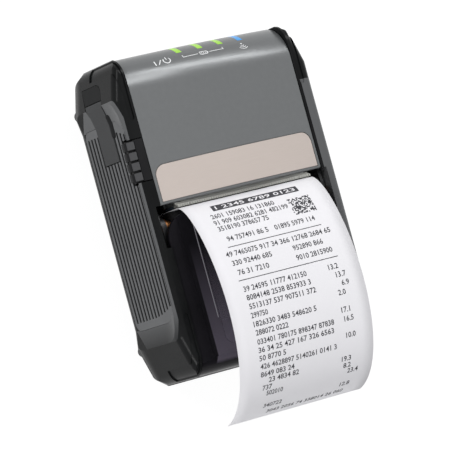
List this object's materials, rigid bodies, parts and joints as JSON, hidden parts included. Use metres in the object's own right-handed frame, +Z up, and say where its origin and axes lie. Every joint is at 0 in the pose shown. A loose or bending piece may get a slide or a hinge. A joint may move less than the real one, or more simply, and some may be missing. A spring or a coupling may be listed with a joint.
{
  "type": "portable label printer",
  "caption": "Palm-sized battery thermal printer: ribbed side grips, grey crowned cover with bare badge plate, smoked hinged media cover over a paper roll, printed strip draped over the front.",
  "frame": {"origin": "on the table, under the middle of the whole part with its printed strip", "axes": "+X to the right, +Y from the hinge end towards the light pipes, +Z up"},
  "size_m": [0.083, 0.1362, 0.0601],
  "materials": {
    "housing_black": "fine-textured black moulding",
    "lower_black": "fine-textured black moulding",
    "grip_rubber": "matt grey rubber",
    "cover_grey": "satin metallic grey paint",
    "badge": "brushed champagne anodised plate",
    "light_green": "lit translucent green",
    "light_blue": "lit translucent blue",
    "circuit_board": "green solder mask",
    "bright_steel": "bright steel",
    "head_ceramic": "glazed dark ceramic",
    "heat_sink_alloy": "plain aluminium",
    "flex_film": "amber film",
    "chip_black": "matt black epoxy",
    "shield_tin": "tinned shield",
    "jack_black": "black nylon",
    "flap_rubber": "soft dark grey rubber",
    "tray_plastic": "smooth black moulding",
    "paper": "smooth thermal paper",
    "core_board": "wound board",
    "cover_smoke": "glossy smoked black",
    "window_smoke": "smoked clear window",
    "frame_black": "black moulding",
    "platen_rubber": "ground black rubber",
    "gear_acetal": "natural acetal",
    "bronze": "sintered bronze",
    "lever_black": "semi-gloss black",
    "button_grey": "dark grey key",
    "battery_case": "fine-textured black moulding",
    "contact_gold": "plated contacts",
    "foot_rubber": "black rubber"
  },
  "bodies": {
    "base": {"lower_shell": "lower_black", "upper_frame": "housing_black", "grip_left": "grip_rubber", "grip_right": "grip_rubber", "top_cover": "cover_grey", "badge_plate": "badge", "light_pipes_green": "light_green", "light_pipe_blue": "light_blue", "light_board": "circuit_board", "tear_bar": "bright_steel", "head_bracket": "bright_steel", "head_springs": "bright_steel", "head_flex_cable": "flex_film", "gear_bracket": "bright_steel", "stepper_motor": "bright_steel", "main_board": "circuit_board", "processor": "chip_black", "radio_module": "shield_tin", "data_socket": "shield_tin", "power_jack": "jack_black", "power_switch": "jack_black", "flap_anchor": "flap_rubber", "media_tray": "tray_plastic", "paper_sensor": "chip_black", "paper_web": "paper", "hinge_pin": "bright_steel", "battery_contacts": "contact_gold", "housing_screws": "bright_steel", "rubber_feet": "foot_rubber"},
    "cover": {"media_cover": "cover_smoke", "cover_window": "window_smoke", "cover_frame": "frame_black", "platen_bushes": "bronze"},
    "platen": {"platen_shaft": "bright_steel", "platen_rubber": "platen_rubber", "platen_gear": "gear_acetal"},
    "strip": {"printed_strip": "paper"},
    "roll": {"paper_roll": "paper", "roll_core": "core_board"},
    "idler": {"idler_gear": "gear_acetal"},
    "pinion": {"motor_pinion": "bronze"},
    "head": {"thermal_head": "head_ceramic", "heat_sink": "heat_sink_alloy"},
    "latch": {"latch_shaft": "bright_steel", "latch_spring": "bright_steel"},
    "lever": {"release_lever": "lever_black"},
    "button": {"power_button": "button_grey"},
    "flap": {"interface_flap": "flap_rubber"},
    "battery": {"battery_pack": "battery_case"},
    "battery_catch": {"battery_latch": "button_grey"}
  },
  "joints": [
    {"name": "cover_hinge", "type": "hinge", "parent": "base", "child": "cover", "pos_m": [0, -0.0457, 0.016], "axis": [1, 0, 0], "range_deg": [0, 88]},
    {"name": "platen_spin", "type": "hinge", "parent": "cover", "child": "platen", "pos_m": [0, 0.0056, 0.0357], "axis": [1, 0, 0], "continuous": true},
    {"name": "strip_drape", "type": "hinge", "parent": "cover", "child": "strip", "pos_m": [0, 0.01075, 0.0441], "axis": [1, 0, 0], "range_deg": [-36, 0]},
    {"name": "roll_spin", "type": "hinge", "parent": "base", "child": "roll", "pos_m": [0, -0.0204, 0.023], "axis": [1, 0, 0], "continuous": true},
    {"name": "idler_spin", "type": "hinge", "parent": "base", "child": "idler", "pos_m": [0, 0.00963, 0.0229], "axis": [1, 0, 0], "continuous": true},
    {"name": "pinion_spin", "type": "hinge", "parent": "base", "child": "pinion", "pos_m": [0, 0.02091, 0.02389], "axis": [1, 0, 0], "continuous": true},
    {"name": "head_tilt", "type": "hinge", "parent": "base", "child": "head", "pos_m": [0, 0.0133, 0.0298], "axis": [-1, 0, 0], "range_deg": [0, 1.2], "stiffness_Nm_per_rad": 0.5, "deforming": ["head_springs"]},
    {"name": "latch_turn", "type": "hinge", "parent": "base", "child": "latch", "pos_m": [0, 0.0196, 0.0355], "axis": [-1, 0, 0], "range_deg": [0, 12]},
    {"name": "lever_press", "type": "hinge", "parent": "base", "child": "lever", "pos_m": [-0.0354, 0.0305, 0.0415], "axis": [0, -1, 0], "range_deg": [0, 7], "stiffness_Nm_per_rad": 0.03},
    {"name": "button_press", "type": "slide", "parent": "base", "child": "button", "axis": [0, -1, 0], "range_m": [0, 0.0005], "stiffness_N_per_m": 600},
    {"name": "flap_swing", "type": "hinge", "parent": "base", "child": "flap", "pos_m": [-0.0415, 0.0551, 0.0277], "axis": [0, 0, -1], "range_deg": [0, 100], "stiffness_Nm_per_rad": 0.001},
    {"name": "battery_slide", "type": "slide", "parent": "base", "child": "battery", "axis": [0, 1, 0], "range_m": [0, 0.038]},
    {"name": "battery_catch_lift", "type": "slide", "parent": "base", "child": "battery_catch", "axis": [0, 0, 1], "range_m": [0, 0.0018], "stiffness_N_per_m": 300}
  ],
  "couplings": [
    {"joint": "strip_drape", "follows": "cover_hinge", "ratio": -0.4},
    {"joint": "idler_spin", "follows": "platen_spin", "ratio": -0.72727},
    {"joint": "pinion_spin", "follows": "platen_spin", "ratio": 1.6},
    {"joint": "roll_spin", "follows": "platen_spin", "ratio": 0.27027},
    {"joint": "latch_turn", "follows": "lever_press", "ratio": 1.7}
  ]
}
